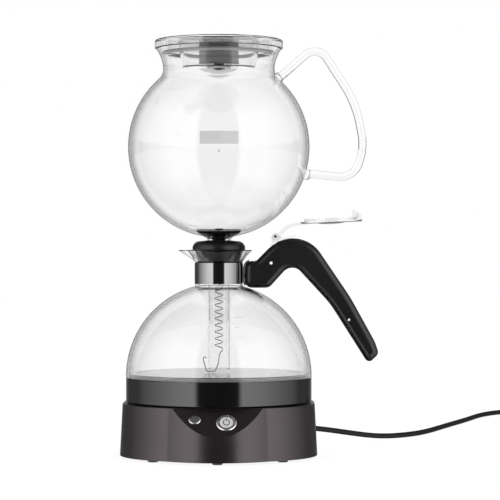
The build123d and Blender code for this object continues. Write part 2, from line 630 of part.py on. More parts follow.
# ---------------------------------------------------------------- funnel
def funnel_shape(inset):
    """The funnel's outside as one solid, or its inside if inset is the wall."""
    stem = STEM_RADIUS - (STEM_WALL if inset else 0)
    waist, mouth = WAIST_RADIUS - inset, MOUTH_RADIUS - inset
    low = STEM_END_Z - (1 if inset else 0)
    mid = (WAIST_RADIUS + 2.6 - inset, (WAIST_Z + MOUTH_Z) / 2 + 1.2)
    outline = Pos(0, BOWL_CENTRE_Z) * Circle(BOWL_RADIUS - inset)
    outline += Pos(0, (low + BOWL_CENTRE_Z) / 2) * Rectangle(2 * stem, BOWL_CENTRE_Z - low)
    neck = Line((0, BOWL_CENTRE_Z), (waist, BOWL_CENTRE_Z)) + Line((waist, BOWL_CENTRE_Z), (waist, WAIST_Z))
    neck += ThreePointArc((waist, WAIST_Z), mid, (mouth, MOUTH_Z))
    neck += Polyline((mouth, MOUTH_Z), (0, MOUTH_Z), (0, BOWL_CENTRE_Z))
    outline += make_face(neck)
    outline -= Pos(-ALL / 2, 0) * Rectangle(ALL, 4 * ALL)
    throat = outline.vertices().filter_by(lambda v: abs(v.X - stem) < 0.01 and v.Y > low + 1)
    outline = fillet(throat, THROAT_BLEND + inset)
    shoulder = outline.vertices().filter_by(
        lambda v: abs(v.X - waist) < 0.01 and BOWL_CENTRE_Z < v.Y < WAIST_Z - 0.5
    )
    outline = fillet(shoulder, SHOULDER_BLEND + inset)
    vessel = revolve(Plane.XZ * outline, Axis.Z)
    return vessel + ring(0, mouth, MOUTH_Z, MOUTH_Z + 1) if inset else vessel


def funnel_glass():
    return funnel_shape(0) - funnel_shape(FUNNEL_WALL)


# the glass loop: corners out from the bowl's side and up from its centre, with the corner's radius
LOOP_CORNERS = (
    (7.4, BOWL_RADIUS + 11.2, 13.0),
    (42.4, 39.6, 100.0),
    (49.8, -0.4, 48.0),
    (40.4, -28.6, 18.0),
)
LOOP_TOP_ANGLE, LOOP_LOW_ANGLE = 49.5, -17.4     # where its ends meet the bowl, from level


def on_bowl(distance, angle):
    """A point at a distance beyond the bowl's surface and an angle above level."""
    r = BOWL_RADIUS + distance
    return (r * cos(radians(angle)), 0, BOWL_CENTRE_Z + r * sin(radians(angle)))


def funnel_handle():
    """A bent glass rod fused to the bowl's shoulder and flank."""
    corners = [(BOWL_RADIUS + x, 0, BOWL_CENTRE_Z + z) for x, z, _ in LOOP_CORNERS]
    points = [on_bowl(-6.0, LOOP_TOP_ANGLE), *corners, on_bowl(-3.4, LOOP_LOW_ANGLE)]
    loop = rod(points, [r for _, _, r in LOOP_CORNERS], LOOP_ROD_RADIUS)
    # the balls and the funnel are turned, so that their seams don't fall on each other
    loop += Pos(*on_bowl(0, LOOP_TOP_ANGLE)) * Rot(0, 0, 37) * Sphere(LOOP_ROD_RADIUS + 1.5)
    loop += Pos(*on_bowl(1.0, LOOP_LOW_ANGLE)) * Rot(0, 0, 37) * Sphere(LOOP_ROD_RADIUS + 1.3)
    return loop - Rot(0, 0, 180) * funnel_shape(0)


def gasket():
    """Rubber stopper: a rounded cap above the rim and a cone that seals the flask's neck."""
    bore = STEM_RADIUS + FIT / 2
    neck = NECK_RADIUS - FLASK_WALL - TOUCH
    flange = NECK_RADIUS + GASKET_FLANGE
    low, top = RIM_Z - GASKET_DEPTH, RIM_Z + GASKET_RISE
    outline = Polyline((bore, low), (neck - 1.0, low), (neck, low + 4), (neck, FLARE_FOOT_Z))
    outline += Line((neck, FLARE_FOOT_Z), (neck + 3.4, RIM_Z - 1.5))
    outline += Polyline((neck + 3.4, RIM_Z - 1.5), (flange, RIM_Z + 0.3), (flange, RIM_Z + 2.6))
    outline += ThreePointArc((flange, RIM_Z + 2.6), (flange - 2.2, RIM_Z + 6.4), (flange - 7.6, top - 0.7))
    outline += Polyline((flange - 7.6, top - 0.7), (bore + 1.5, top), (bore, top), (bore, low))
    body = revolve(Plane.XZ * make_face(outline), Axis.Z)
    return body - funnel_shape(0)


# ---------------------------------------------------------------- filter
LENS_RADIUS = BOWL_RADIUS - FUNNEL_WALL - 2 * TOUCH
STUD_RADIUS = CORE_RADIUS - 2.2
CORE_LOW = FILTER_TOP_Z - CORE_LENGTH


def filter_disc():
    """A lens-shaped strainer that lies on the bowl's floor, with drain slots through it."""
    lens = ring(0, FILTER_RADIUS, FILTER_TOP_Z - DISC_THICKNESS, FILTER_TOP_Z)
    lens &= Pos(0, 0, BOWL_CENTRE_Z) * Sphere(LENS_RADIUS)
    slot = Pos(FILTER_RADIUS - 8.8, 0, FILTER_TOP_Z - 9) * extrude(SlotOverall(10, 1.6), 12)
    for i in range(12):
        lens -= Rot(0, 0, 30 * i) * slot
    return lens - ring(0, STUD_RADIUS + FIT, FILTER_TOP_Z - 12, FILTER_TOP_Z + 1)


def filter_core():
    """The plug under the strainer, fluted so that coffee can pass, with a stud through the strainer."""
    shoulder = FILTER_TOP_Z - DISC_THICKNESS - FIT
    core = ring(0, CORE_RADIUS, CORE_LOW, shoulder) + ring(0, STUD_RADIUS, shoulder, FILTER_TOP_Z + 1.2)
    for i in range(6):
        core -= polar(CORE_RADIUS + 0.4, 60 * i, CORE_LOW) * extrude(Circle(1.5), shoulder - CORE_LOW)
    return core


def filter_spring():
    coil = Helix(pitch=SPRING_LENGTH / SPRING_TURNS, height=SPRING_LENGTH, radius=SPRING_RADIUS)
    section = Plane(origin=coil @ 0, z_dir=coil % 0) * Circle(WIRE_RADIUS)
    return Pos(0, 0, SPRING_LOW) * sweep(section, path=coil)


def filter_rod():
    """Straight wire from the core down to the top of the spring."""
    points = [(0, 0, CORE_LOW - FIT), (0, 0, SPRING_TOP + 4), (SPRING_RADIUS, 0, SPRING_TOP + 1.2)]
    return rod(points, [1.5], WIRE_RADIUS)


def filter_hook():
    """Wire from the bottom of the spring round the end of the stem, with a curled finger tip."""
    low, outside = STEM_END_Z - 1.6, STEM_RADIUS
    points = [
        (SPRING_RADIUS, 0, SPRING_LOW - 1.2),
        (0.6, 0, SPRING_LOW - 5),
        (-0.6, 0, STEM_END_Z + 5),
        (-3.4, -1.2, low),
        (-outside - 1.2, -3.4, low),
        (-outside - 4.2, -4.2, STEM_END_Z + 9.6),
        (-outside - 3.2, -3.9, STEM_END_Z + 11.8),
        (-outside - 1.4, -3.4, STEM_END_Z + 10.8),
    ]
    return rod(points, [1.2, 3.0, 1.6, 1.6, 1.2, 0.7], WIRE_RADIUS)


# ---------------------------------------------------------------- funnel lid
PLATE_UNDER = COVER_TOP - COVER_PLATE
CUP_FLOOR_Z = PLATE_UNDER - CUP_DEPTH
LOCATOR_RADIUS = WAIST_RADIUS - FUNNEL_WALL     # outside of the wall that centres the lid


def lid_disc():
    """Clear tray-shaped disc: a plate, an outer wall that sits on the glass and a locating wall."""
    body = ring(0, COVER_RADIUS, MOUTH_Z + TOUCH, COVER_TOP)
    body = fillet(body.faces().sort_by(Axis.Z)[-1].edges(), 1.6)
    body = body - ring(0, COVER_RADIUS - 3, MOUTH_Z, PLATE_UNDER)
    return body + ring(LOCATOR_RADIUS - 2.2, LOCATOR_RADIUS, MOUTH_Z - 7, PLATE_UNDER)


def lid_seal():
    """Rubber ring round the locating wall, trimmed to the glass that it seals against."""
    z = MOUTH_Z - 4.2
    seal = ring(LOCATOR_RADIUS + FIT, LOCATOR_RADIUS + 4, z - 1.6, z)
    seal += ring(LOCATOR_RADIUS + FIT, LOCATOR_RADIUS + 2, z, z + 1.4)
    return seal & funnel_shape(FUNNEL_WALL + TOUCH)


def lid_cup():
    outer = turned((0, CUP_FLOOR_Z), (CUP_LOW_RADIUS, CUP_FLOOR_Z), (CUP_TOP_RADIUS, PLATE_UNDER - FIT),
                   (0, PLATE_UNDER - FIT))
    outer = fillet(outer.faces().sort_by(Axis.Z)[0].edges(), 1.5)
    inner = turned((0, CUP_FLOOR_Z + 2), (CUP_LOW_RADIUS - 1.7, CUP_FLOOR_Z + 2),
                   (CUP_TOP_RADIUS - 1.9, PLATE_UNDER), (0, PLATE_UNDER))
    return outer - inner - ring(0, 3.0, CUP_FLOOR_Z - 1, CUP_FLOOR_Z + 3)


def lid_core():
    """Polished steel can that stands in the cup."""
    low, top = CUP_FLOOR_Z + 2 + FIT, PLATE_UNDER - 2 * FIT
    can = turned((0, low), (CORE_CAN_RADIUS + 0.3, low), (CORE_CAN_RADIUS - 0.3, top), (0, top))
    bore = turned((0, low + 1), (CORE_CAN_RADIUS - 0.6, low + 1), (CORE_CAN_RADIUS - 1.2, top), (0, top))
    return can - bore - ring(0, 3.0, low - 1, low + 2)


def lid_core_cap():
    """Polished steel dome under the cup, with the stud that holds the can, the cup and the dome together."""
    dome_top, r = CUP_FLOOR_Z - 1.6, CORE_CAN_RADIUS
    radius = (r * r + CAP_RISE * CAP_RISE) / (2 * CAP_RISE)
    dome = Pos(0, 0, dome_top - CAP_RISE + radius) * Sphere(radius) & ring(0, r, dome_top - 2 * CAP_RISE, dome_top)
    neck = ring(0, 11, dome_top, CUP_FLOOR_Z - FIT)
    stud = ring(0, 2.9, CUP_FLOOR_Z - FIT, CUP_FLOOR_Z + 4.6)
    return dome + neck + stud


# ---------------------------------------------------------------- mains cord, as it lies
RELIEF_TIP = RELIEF.origin + RELIEF.z_dir * RELIEF_LENGTH
COIL_X, COIL_Y = COIL_CENTRE
COIL_Z = COIL_LIFT + CORD_RADIUS + FIT          # middle of the lower layer
COIL_TOP_Z = COIL_Z + 2 * CORD_RADIUS           # middle of the upper layer

# Route about the axis, chosen by hand: out of the relief, down to the floor and away behind to the right.
CORD_ROUTE = (
    tuple(RELIEF_TIP),
    tuple(RELIEF_TIP + RELIEF.z_dir * RELIEF_LENGTH),
    (124.6, 125.8, 10.1),
    (149.0, 149.4, 5.0),
    (170.0, 170.2, 2.9),
    (195.0, 199.0, 2.7),
    (212.0, 233.5, 2.7),
    (225.6, 270.0, 2.7),
    (241.0, 312.0, 2.7),
    (258.4, 357.0, 2.7),
    (271.6, 394.0, 2.7),
    (282.6, 427.0, 2.7),
    (295.6, 455.5, 2.7),
    (313.2, 478.6, 2.9),
    (336.0, COIL_Y + COIL_OUTER, COIL_Z),
    (COIL_X - COIL_TAIL, COIL_Y + COIL_OUTER, COIL_Z),
)


def corner_radii(points):
    """The largest arc that each corner of a route has room for."""
    radii = []
    for before, here, after in zip(points, points[1:], points[2:]):
        arriving, leaving = Vector(here) - Vector(before), Vector(after) - Vector(here)
        half_turn = radians(arriving.get_angle(leaving)) / 2
        radii.append(0.45 * min(arriving.length, leaving.length) / tan(half_turn))
    return radii


def mains_cord():
    radii = corner_radii(CORD_ROUTE)
    cord = rod(CORD_ROUTE, radii, CORD_RADIUS)
    path = FilletPolyline(*CORD_ROUTE, radius=radii)
    print("cord arcs, mm:", [round(r) for r in radii])
    print("cord tube length, mm:", round(path.length, 1), "volume over section times length:",
          round(cord.volume / (path.length * 3.14159 * CORD_RADIUS ** 2), 4))
    return cord


def cord_coil():
    """The outer shape of the wound length: two layers of turns, and the ends that leave them."""
    low, top = COIL_Z - CORD_RADIUS, COIL_TOP_Z + CORD_RADIUS
    turns = ring(COIL_INNER - CORD_RADIUS - FIT, COIL_OUTER + CORD_RADIUS + FIT, low - FIT, top + FIT)
    turns = fillet(turns.edges().filter_by(GeomType.CIRCLE), 2.0)
    lead_in = Pos(-COIL_TAIL, COIL_OUTER, COIL_Z) * Rot(0, 90, 0) * extrude(Circle(CORD_RADIUS), COIL_TAIL)
    lead_out = Pos(COIL_OUTER, 0, COIL_TOP_Z) * Rot(90, 0, 0) * extrude(Circle(CORD_RADIUS), COIL_TAIL)
    return Pos(COIL_X, COIL_Y, 0) * (turns + lead_in + lead_out)


def cord_tie():
    """A strap round the coil's turns."""
    inner_r, outer_r = COIL_INNER - CORD_RADIUS - 2 * FIT, COIL_OUTER + CORD_RADIUS + 2 * FIT
    low, top = COIL_Z - CORD_RADIUS - 2 * FIT, COIL_TOP_Z + CORD_RADIUS + 2 * FIT
    middle = Pos((inner_r + outer_r) / 2, (low + top) / 2)
    strap = middle * Rectangle(outer_r - inner_r + 2 * TIE_THICKNESS, top - low + 2 * TIE_THICKNESS)
    strap -= middle * Rectangle(outer_r - inner_r, top - low)
    swept = TIE_WIDTH / outer_r * 180 / 3.14159
    turned_strap = revolve(Plane.XZ * strap, Axis.Z, revolution_arc=swept)
    return Pos(COIL_X, COIL_Y, 0) * Rot(0, 0, 225) * turned_strap


PLUG_AT = Pos(COIL_X + COIL_OUTER, COIL_Y - COIL_TAIL, COIL_TOP_Z) * Rot(90, 0, 0)   # z runs into the plug


def mains_plug():
    """A plain moulded two-blade plug: a tapered boot and a body with waisted flanks for the fingers."""
    width, length, height = PLUG_BODY
    boot = PLUG_AT * loft([Circle(CORD_RADIUS + 0.7), Pos(0, 0, PLUG_BOOT) * Ellipse(6.5, 5.5)])
    body = PLUG_AT * Pos(0, 0, PLUG_BOOT) * loft(
        [
            RectangleRounded(width - 9, height - 5, 4),
            Pos(0, 0, length * 0.4) * RectangleRounded(width, height, 5),
            Pos(0, 0, length) * RectangleRounded(width, height, 5),
        ],
        ruled=True,
    )
    for side in (-1, 1):
        blade_slot = Pos(side * BLADE_SPACING / 2, 0, PLUG_BOOT + length - 6)
        body -= PLUG_AT * blade_slot * extrude(Rectangle(BLADE[0], BLADE[2]), 6)
    return boot + body


def plug_blades():
    blades = []
    for side in (-1, 1):
        at = Pos(side * BLADE_SPACING / 2, 0, PLUG_BOOT + PLUG_BODY[1] - 6)
        blade = extrude(Rectangle(BLADE[0], BLADE[2]), BLADE[1] + 6)
        blade -= Pos(0, 0, BLADE[1] + 2) * Rot(0, 90, 0) * Cylinder(1.6, 4)
        blades.append(PLUG_AT * at * blade)
    return blades


# The origin is the middle of the footprint, from the base's left side to the end of the grip.
AXIS_X = -(flask_handle().bounding_box().max.X - BASE_HALF_WIDTH) / 2


def main():
    write("base_housing", base_housing())
    write("base_bottom_cover", base_bottom_cover())
    write("base_feet", *base_feet())
    write("base_screws", *base_screws())
    write("deck_plate", ring(SPIGOT_RADIUS + FIT, DECK_RADIUS, BASE_HEIGHT, BASE_HEIGHT + DECK_THICKNESS))
    write("power_spigot", power_spigot())
    write("contact_rings", *contact_rings())
    write("strain_relief", strain_relief())
    write("mains_cord", mains_cord())
    write("cord_coil", cord_coil())
    write("cord_tie", cord_tie())
    write("mains_plug", mains_plug())
    write("plug_blades", *plug_blades())
    write("control_board", control_board())
    write("tact_switch", tact_switch())
    write("button_bezel", button_bezel())
    write("power_button", power_button())
    write("button_icon", button_icon())
    write("indicator_bezel", indicator_bezel())
    write("indicator_lens", indicator_lens())
    write("heater_skirt", heater_skirt())
    write("skirt_cover", skirt_cover())
    write("kettle_socket", kettle_socket())
    write("heater_plate", heater_plate())
    write("flask_seal", flask_seal())
    write("heating_element", heating_element())
    write("thermostat", thermostat())
    write("flask_glass", flask_glass())
    write("neck_band", neck_band())
    write("handle_bracket", handle_bracket())
    write("flask_handle", flask_handle())
    write("clamp_screw", clamp_screw())
    write("hinge_clip", hinge_clip())
    write("hinge_pin", hinge_pin())
    write("flask_lid", flask_lid())
    write("funnel_glass", funnel_glass())
    write("funnel_handle", funnel_handle())
    write("gasket", gasket())
    write("filter_disc", filter_disc())
    write("filter_core", filter_core())
    write("filter_spring", filter_spring())
    write("filter_rod", filter_rod())
    write("filter_hook", filter_hook())
    write("lid_disc", lid_disc())
    write("lid_seal", lid_seal())
    write("lid_cup", lid_cup())
    write("lid_core", lid_core())
    write("lid_core_cap", lid_core_cap())


main()
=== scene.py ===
"""Looks of the electric siphon coffee maker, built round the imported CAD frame.

Metres, +Z up, -Y front. The cord and the prints are given in millimetres about the vessels' axis.
"""
import math

import bpy
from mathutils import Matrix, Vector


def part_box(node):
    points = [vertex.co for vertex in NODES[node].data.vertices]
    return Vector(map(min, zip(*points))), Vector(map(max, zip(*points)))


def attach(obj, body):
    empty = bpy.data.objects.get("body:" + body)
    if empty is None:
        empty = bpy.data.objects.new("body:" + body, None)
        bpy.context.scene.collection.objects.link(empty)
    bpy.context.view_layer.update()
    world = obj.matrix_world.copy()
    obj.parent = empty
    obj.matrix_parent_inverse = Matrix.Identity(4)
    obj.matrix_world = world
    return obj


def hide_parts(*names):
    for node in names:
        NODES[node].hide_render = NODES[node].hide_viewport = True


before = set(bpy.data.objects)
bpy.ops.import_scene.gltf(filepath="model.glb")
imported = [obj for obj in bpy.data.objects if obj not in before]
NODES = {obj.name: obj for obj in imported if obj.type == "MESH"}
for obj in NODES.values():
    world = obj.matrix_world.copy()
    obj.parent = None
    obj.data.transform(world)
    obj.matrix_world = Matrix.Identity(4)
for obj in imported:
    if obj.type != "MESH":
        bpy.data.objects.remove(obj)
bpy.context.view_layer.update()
MM = 0.001


def middle(node):
    low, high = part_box(node)
    return (low + high) / 2


AXIS_X = middle("funnel_glass").x        # the vessels' common axis

# ---------------------------------------------------------------- camera
HORIZON_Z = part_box("flask_glass")[1].z   # level with the flask's rim
CAMERA_DISTANCE = 1.9215
CAMERA_OFFSET = 0.0285                   # the camera stands this far to the right of the axis
LENS_MM, SENSOR_MM = 151.2, 36.0
CLIP_NEAR, CLIP_FAR = 0.05, 50.0


def make_camera():
    data = bpy.data.cameras.new("camera")
    data.lens, data.sensor_width = LENS_MM, SENSOR_MM
    data.clip_start, data.clip_end = CLIP_NEAR, CLIP_FAR
    camera = bpy.data.objects.new("camera", data)
    camera.location = (AXIS_X + CAMERA_OFFSET, -CAMERA_DISTANCE, HORIZON_Z)
    camera.rotation_euler = (math.pi / 2, 0, 0)
    bpy.context.collection.objects.link(camera)
    bpy.context.scene.camera = camera


# ---------------------------------------------------------------- node helpers
class Nodes:
    """A small wrapper that adds and links shader nodes."""

    def __init__(self, tree):
        self.tree = tree
        tree.nodes.clear()

    def feed(self, socket, value):
        """Link an output to the socket, or set the socket's own value."""
        if hasattr(value, "is_linked"):
            self.tree.links.new(value, socket)
        else:
            socket.default_value = value

    def add(self, kind, **inputs):
        node = self.tree.nodes.new(kind)
        for name, value in inputs.items():
            self.feed(node.inputs[name.replace("_", " ")], value)
        return node

    def math(self, operation, *values):
        node = self.tree.nodes.new("ShaderNodeMath")
        node.operation = operation
        for socket, value in zip(node.inputs, values):
            self.feed(socket, value)
        return node.outputs[0]

    def choose(self, test, yes, no):
        """One number where the test is 1, another where it is 0."""
        node = self.tree.nodes.new("ShaderNodeMix")
        node.data_type = "FLOAT"
        factor, _, when_no, when_yes = list(node.inputs)[:4]
        self.feed(factor, test)
        self.feed(when_yes, yes)
        self.feed(when_no, no)
        return node.outputs[0]

    def ramp(self, factor, stops):
        """stops are (position, value or colour)."""
        node = self.tree.nodes.new("ShaderNodeValToRGB")
        elements = node.color_ramp.elements
        while len(elements) < len(stops):
            elements.new(0.5)
        for element, (position, value) in zip(elements, stops):
            element.position = position
            colour = value if isinstance(value, tuple) else (value,) * 3
            element.color = (*colour, 1.0)
        self.tree.links.new(factor, node.inputs["Fac"])
        return node.outputs["Color"]

    def noise(self, scale, detail=3.0, roughness=0.6):
        coordinates = self.tree.nodes.new("ShaderNodeTexCoord")
        node = self.add("ShaderNodeTexNoise", Scale=scale, Detail=detail, Roughness=roughness)
        self.tree.links.new(coordinates.outputs["Object"], node.inputs["Vector"])
        return node.outputs["Fac"]

    def bump(self, height, strength, distance):
        node = self.add("ShaderNodeBump", Height=height, Strength=strength, Distance=distance)
        return node.outputs["Normal"]

    def finish(self, shader, kind="ShaderNodeOutputMaterial"):
        out = self.tree.nodes.new(kind)
        self.tree.links.new(shader.outputs[0], out.inputs["Surface"])


def new_material(name):
    material = bpy.data.materials.new(name)
    material.use_nodes = True
    return material, Nodes(material.node_tree)


# ---------------------------------------------------------------- kinds of material
MOTTLE_SCALE = 14.0          # slow variation of colour and gloss over a moulding
GRAIN_STRENGTH = 0.25
COAT_ROUGHNESS = 0.04
DULLER, GLOSSIER = 1.12, 0.9             # how far the mottle moves a moulding's roughness
MARK_SCALE, TARNISH_SCALE = 260.0, 9.0   # fine turned marks and slow tone of a metal
MARK_STRENGTH, MARK_DEPTH = 0.1, 0.01
TARNISH = 0.94
SMOOTHEST = 0.01


def moulded(name, colour, roughness, grain=900.0, grain_depth=0.02, metallic=0.0, coat=0.0,
            variation=0.12, ior=1.5):
    """Opaque plastic, rubber or lacquer with a fine moulded grain and slight variation of gloss."""
    material, n = new_material(name)
    fine = n.noise(grain)
    broad = n.noise(MOTTLE_SCALE, detail=4.0)
    dark = tuple(c * (1 - variation) for c in colour)
    light = tuple(min(1.0, c * (1 + variation)) for c in colour)
    gloss = [(0.3, roughness * GLOSSIER), (0.7, min(1.0, roughness * DULLER))]
    shader = n.add(
        "ShaderNodeBsdfPrincipled",
        Base_Color=n.ramp(broad, [(0.35, dark), (0.65, light)]),
        Roughness=n.ramp(broad, gloss),
        Normal=n.bump(fine, GRAIN_STRENGTH, grain_depth * MM),
        Metallic=metallic,
        IOR=ior,
        Coat_Weight=coat,
    )
    shader.inputs["Coat Roughness"].default_value = COAT_ROUGHNESS
    n.finish(shader)
    return material


def steel(name, colour, roughness, streak):
    """Metal with faint turned or drawn marks; the streak is how far they move its roughness."""
    material, n = new_material(name)
    marks = n.noise(MARK_SCALE, detail=2.0)
    broad = n.noise(TARNISH_SCALE)
    gloss = [(0.3, max(SMOOTHEST, roughness - streak)), (0.7, roughness + streak)]
    shader = n.add(
        "ShaderNodeBsdfPrincipled",
        Base_Color=n.ramp(broad, [(0.3, tuple(c * TARNISH for c in colour)), (0.7, colour)]),
        Roughness=n.ramp(marks, gloss),
        Normal=n.bump(marks, MARK_STRENGTH + streak, MARK_DEPTH * MM),
        Metallic=1.0,
    )
    n.finish(shader)
    return material


def clear(name, tint, painted_edge_shade, ior, edge_shade_from, edge_shade_to):
    """Clear glass or plastic whose base colour is painted darker where the wall is seen edge on:
    painted edge shade.
    """
    material, n = new_material(name)
    facing = n.add("ShaderNodeLayerWeight", Blend=0.5).outputs["Facing"]
    shader = n.add(
        "ShaderNodeBsdfPrincipled",
        # Layer Weight facing darkens the base colour towards the edges: painted shade, not a tint
        # of the glass
        Base_Color=n.ramp(facing, [(0.0, tint), (edge_shade_from, tint), (edge_shade_to, painted_edge_shade)]),
        Roughness=0.0,
        IOR=ior,
    )
    shader.inputs["Transmission Weight"].default_value = 1.0
    n.finish(shader)
    return material


# ---------------------------------------------------------------- studio
# (share of half a turn from the front, brightness): what gloss mirrors
BOX_STOPS = [
    (0.0, 0.01), (0.135, 0.02), (0.165, 1.0), (0.30, 0.85), (0.49, 0.42),
    (0.65, 0.08), (0.80, 0.03), (0.88, 0.05), (1.0, 0.16),
]
# the same, for what is seen through glass
THROUGH_STOPS = [
    (0.0, 0.02), (0.30, 0.04), (0.37, 0.55), (0.43, 0.25),
    (0.62, 0.10), (0.74, 0.28), (0.79, 0.92), (0.83, 1.0),
]
LEVEL_STOPS = [(0.0, 1.0), (0.55, 1.0), (0.8, 0.35), (1.0, 0.3)]   # (rise from level, share left)
STUDIO_GAIN = 3.2


def make_world():
    """White surroundings; what shines sees a dark gap in front between two large soft boxes."""
    world = bpy.data.worlds.new("studio")
    world.use_nodes = True
    world.cycles.sampling_method = "NONE"
    bpy.context.scene.world = world
    n = Nodes(world.node_tree)
    direction = n.tree.nodes.new("ShaderNodeTexCoord").outputs["Generated"]
    split = n.tree.nodes.new("ShaderNodeSeparateXYZ")
    n.tree.links.new(direction, split.inputs[0])
    x, y, z = split.outputs
    angle = n.math("ARCTAN2", x, n.math("MULTIPLY", y, -1.0))
    turn = n.math("DIVIDE", n.math("ABSOLUTE", angle), math.pi)
    boxes = n.ramp(turn, BOX_STOPS)
    level = n.ramp(n.math("ABSOLUTE", z), LEVEL_STOPS)
    studio = n.math("MULTIPLY", n.math("MULTIPLY", boxes, level), STUDIO_GAIN)
    through = n.ramp(turn, THROUGH_STOPS)
    path = n.tree.nodes.new("ShaderNodeLightPath").outputs
    # sharp glass counts as singular
    mirrored = n.math("MAXIMUM", path["Is Glossy Ray"], path["Is Singular Ray"])
    lit = n.choose(path["Is Transmission Ray"], through, n.choose(mirrored, studio, 1.0))
    strength = n.choose(path["Is Camera Ray"], 1.0, lit)
    background = n.add("ShaderNodeBackground", Strength=strength)
    background.inputs["Color"].default_value = (1.0, 1.0, 1.0, 1.0)
    n.finish(background, "ShaderNodeOutputWorld")


FLOOR_HALF = 6.0
FLOOR_COLOUR = (0.14, 0.14, 0.14, 1)
FLOOR_ROUGHNESS = 0.9
FLOOR_GLOW = 0.9


def make_floor():
    bpy.ops.mesh.primitive_plane_add(size=2 * FLOOR_HALF, location=(0, 0, 0))
    floor = bpy.context.object
    floor.name = "floor"
    material, n = new_material("floor_white")
    shader = n.add("ShaderNodeBsdfPrincipled", Base_Color=FLOOR_COLOUR, Roughness=FLOOR_ROUGHNESS)
    shader.inputs["Emission Color"].default_value = (1, 1, 1, 1)
    shader.inputs["Emission Strength"].default_value = FLOOR_GLOW
    shader.inputs["Specular IOR Level"].default_value = 0.0
    n.finish(shader)
    floor.data.materials.append(material)
    floor.visible_glossy = False         # gloss shows the studio, not the pale floor


# ---------------------------------------------------------------- mains cord
CORD_RADIUS = 2.6
COIL_CENTRE = (380.0, 458.4)
COIL_INNER, COIL_OUTER = 23.2, 33.8
COIL_LOW_Z, COIL_TOP_Z = 3.3, 8.5
COIL_TAIL = 22.0
PER_TURN = 16                # control points in each turn
LAYER_TURNS = 2.0
CLIMB_TURNS = 0.25
SECTION_STEPS, PATH_STEPS = 5, 8         # fineness of the cord's section and of its line

# the route's points, from the tip of the strain relief
CORD_ROUTE = (
    (81.6, 81.6, 18.95),
    (99.1, 99.1, 15.9),
    (124.6, 125.8, 10.1),
    (149.0, 149.4, 5.0),
    (170.0, 170.2, 2.9),
    (195.0, 199.0, 2.7),
    (212.0, 233.5, 2.7),
    (225.6, 270.0, 2.7),
    (241.0, 312.0, 2.7),
    (258.4, 357.0, 2.7),
    (271.6, 394.0, 2.7),
    (282.6, 427.0, 2.7),
    (295.6, 455.5, 2.7),
    (313.2, 478.6, 2.9),
    (336.0, 492.2, 3.3),
    (358.0, 492.2, 3.3),
)


def share(value, whole):
    """How much of the whole the value has passed, between 0 and 1."""
    return min(max(value, 0.0), whole) / whole


def coil_points():
    """Control points of the turns: out to in on the lower layer, then in to out on the upper."""
    step = 360.0 / PER_TURN
    turns = 2 * LAYER_TURNS + CLIMB_TURNS
    stretch = 1 / math.cos(math.radians(step / 2))      # the smooth line runs inside its points
    points = []
    for k in range(round(turns * PER_TURN) + 2):
        swept = (k - 0.5) / PER_TURN                    # half a step before the first turn starts
        down = share(swept, LAYER_TURNS)
        up = share(swept - LAYER_TURNS - CLIMB_TURNS, LAYER_TURNS)
        climb = min(max((swept - LAYER_TURNS) / CLIMB_TURNS, 0.0), 1.0)
        radius = stretch * (COIL_OUTER - (COIL_OUTER - COIL_INNER) * (down - up))
        z = COIL_LOW_Z + (COIL_TOP_Z - COIL_LOW_Z) * climb
        angle = math.radians(90.0 - 360.0 * swept)
        x = COIL_CENTRE[0] + radius * math.cos(angle)
        y = COIL_CENTRE[1] + radius * math.sin(angle)
        points.append((x, y, z))
    points.append((COIL_CENTRE[0] + COIL_OUTER, COIL_CENTRE[1] - COIL_TAIL, COIL_TOP_Z))
    return points


def make_cord():
    points = [*CORD_ROUTE, *coil_points()]
    curve = bpy.data.curves.new("cord", "CURVE")
    curve.dimensions = "3D"
    curve.bevel_depth = CORD_RADIUS * MM
    curve.bevel_resolution = SECTION_STEPS
    curve.resolution_u = PATH_STEPS
    curve.use_fill_caps = True
    spline = curve.splines.new("NURBS")
    spline.points.add(len(points) - 1)
    for point, (x, y, z) in zip(spline.points, points):
        point.co = (AXIS_X + x * MM, y * MM, z * MM, 1.0)
    spline.order_u = 3
    spline.use_endpoint_u = True
    cord = bpy.data.objects.new("cord", curve)
    bpy.context.collection.objects.link(cord)
    cord.data.materials.append(MATERIALS["cord"])
    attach(cord, "base")
    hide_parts("mains_cord", "cord_coil")
    x, y, z = CORD_ROUTE[0]


